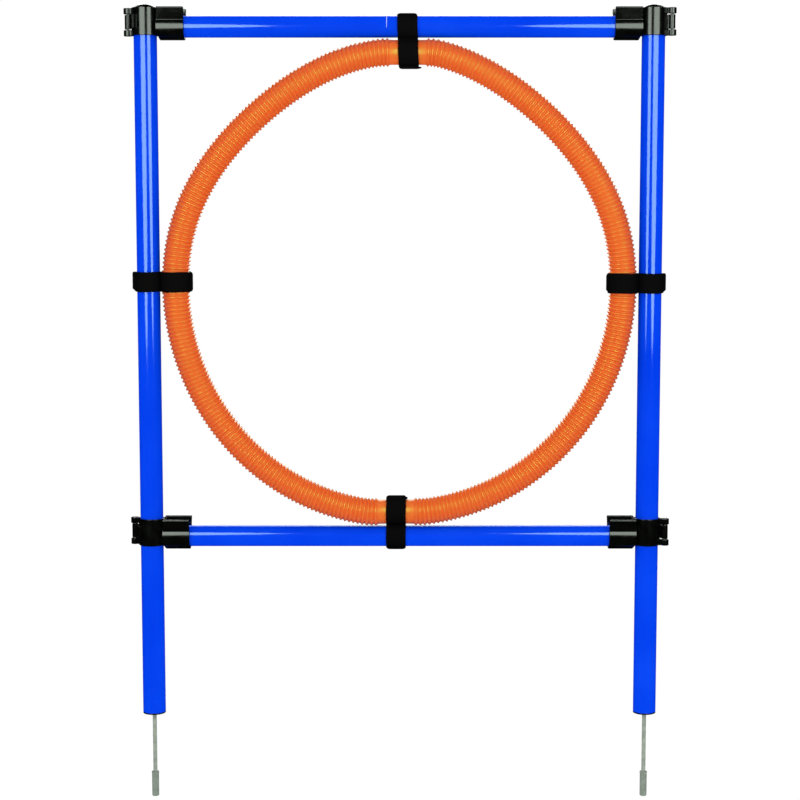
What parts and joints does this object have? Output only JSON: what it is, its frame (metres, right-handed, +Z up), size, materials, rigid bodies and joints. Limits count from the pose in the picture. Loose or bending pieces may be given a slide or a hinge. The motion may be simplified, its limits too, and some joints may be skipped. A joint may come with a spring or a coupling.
{
  "type": "agility tire jump",
  "caption": "Staked dog agility jump: a ring of ribbed hose is strapped in a frame of plastic tubes, on clips that slide along the posts to set its height.",
  "frame": {"origin": "on the ground line midway between the two posts, level with the undersides of the foot plugs", "axes": "+X to the right seen from the front, +Y to the back, +Z up along the posts"},
  "size_m": [0.7826, 0.0446, 1.1509],
  "materials": {
    "tube_blue": "saturated blue plastic tube, glossy, with faint drawing lines along it",
    "clip_black": "near-black moulded plastic, half matt",
    "strap_black": "matt black hook-and-loop webbing",
    "hose_orange": "orange ribbed plastic hose, half glossy",
    "spike_steel": "bright drawn steel rod",
    "guard_grey": "soft greenish grey plastic cap"
  },
  "bodies": {
    "posts": {"left_post_tube": "tube_blue", "right_post_tube": "tube_blue", "left_post_cap": "clip_black", "right_post_cap": "clip_black", "left_foot_plug": "clip_black", "right_foot_plug": "clip_black", "left_spike": "spike_steel", "right_spike": "spike_steel"},
    "lower_left_clip": {"lower_left_clip": "clip_black", "lower_left_lever_pin": "spike_steel"},
    "lower_right_clip": {"lower_right_clip": "clip_black", "lower_right_lever_pin": "spike_steel"},
    "upper_left_clip": {"upper_left_clip": "clip_black", "upper_left_lever_pin": "spike_steel"},
    "upper_right_clip": {"upper_right_clip": "clip_black", "upper_right_lever_pin": "spike_steel"},
    "lower_left_lever": {"lower_left_lever": "clip_black"},
    "lower_right_lever": {"lower_right_lever": "clip_black"},
    "upper_left_lever": {"upper_left_lever": "clip_black"},
    "upper_right_lever": {"upper_right_lever": "clip_black"},
    "ring_set": {"upper_bar_left_tube": "tube_blue", "upper_bar_right_tube": "tube_blue", "lower_bar_left_tube": "tube_blue", "lower_bar_right_tube": "tube_blue", "left_hose": "hose_orange", "right_hose": "hose_orange", "top_hose_coupler": "clip_black", "bottom_hose_coupler": "clip_black", "top_strap": "strap_black", "bottom_strap": "strap_black", "left_strap": "strap_black", "right_strap": "strap_black"},
    "left_guard": {"left_spike_guard": "guard_grey"},
    "right_guard": {"right_spike_guard": "guard_grey"}
  },
  "joints": [
    {"name": "ring_height", "type": "slide", "parent": "posts", "child": "lower_left_clip", "axis": [0, 0, 1], "range_m": [-0.24, 0]},
    {"name": "lower_right_height", "type": "slide", "parent": "posts", "child": "lower_right_clip", "axis": [0, 0, 1], "range_m": [-0.24, 0]},
    {"name": "upper_left_height", "type": "slide", "parent": "posts", "child": "upper_left_clip", "axis": [0, 0, 1], "range_m": [-0.24, 0]},
    {"name": "upper_right_height", "type": "slide", "parent": "posts", "child": "upper_right_clip", "axis": [0, 0, 1], "range_m": [-0.24, 0]},
    {"name": "ring_lift", "type": "slide", "parent": "lower_left_clip", "child": "ring_set", "axis": [0, 0, 1], "range_m": [0, 0.05]},
    {"name": "lower_left_lever_swing", "type": "hinge", "parent": "lower_left_clip", "child": "lower_left_lever", "pos_m": [-0.38536, 0.00679, 0.263], "axis": [0, 0, -1], "range_deg": [0, 95]},
    {"name": "lower_right_lever_swing", "type": "hinge", "parent": "lower_right_clip", "child": "lower_right_lever", "pos_m": [0.38536, -0.00679, 0.263], "axis": [0, 0, -1], "range_deg": [0, 95]},
    {"name": "upper_left_lever_swing", "type": "hinge", "parent": "upper_left_clip", "child": "upper_left_lever", "pos_m": [-0.38536, 0.00679, 0.993], "axis": [0, 0, -1], "range_deg": [0, 95]},
    {"name": "upper_right_lever_swing", "type": "hinge", "parent": "upper_right_clip", "child": "upper_right_lever", "pos_m": [0.38536, -0.00679, 0.993], "axis": [0, 0, -1], "range_deg": [0, 95]},
    {"name": "left_guard_pull", "type": "slide", "parent": "posts", "child": "left_guard", "axis": [0, 0, -1], "range_m": [0, 0.16]},
    {"name": "right_guard_pull", "type": "slide", "parent": "posts", "child": "right_guard", "axis": [0, 0, -1], "range_m": [0, 0.16]}
  ],
  "couplings": [
    {"joint": "lower_right_height", "follows": "ring_height", "ratio": 1},
    {"joint": "upper_left_height", "follows": "ring_height", "ratio": 1},
    {"joint": "upper_right_height", "follows": "ring_height", "ratio": 1}
  ]
}
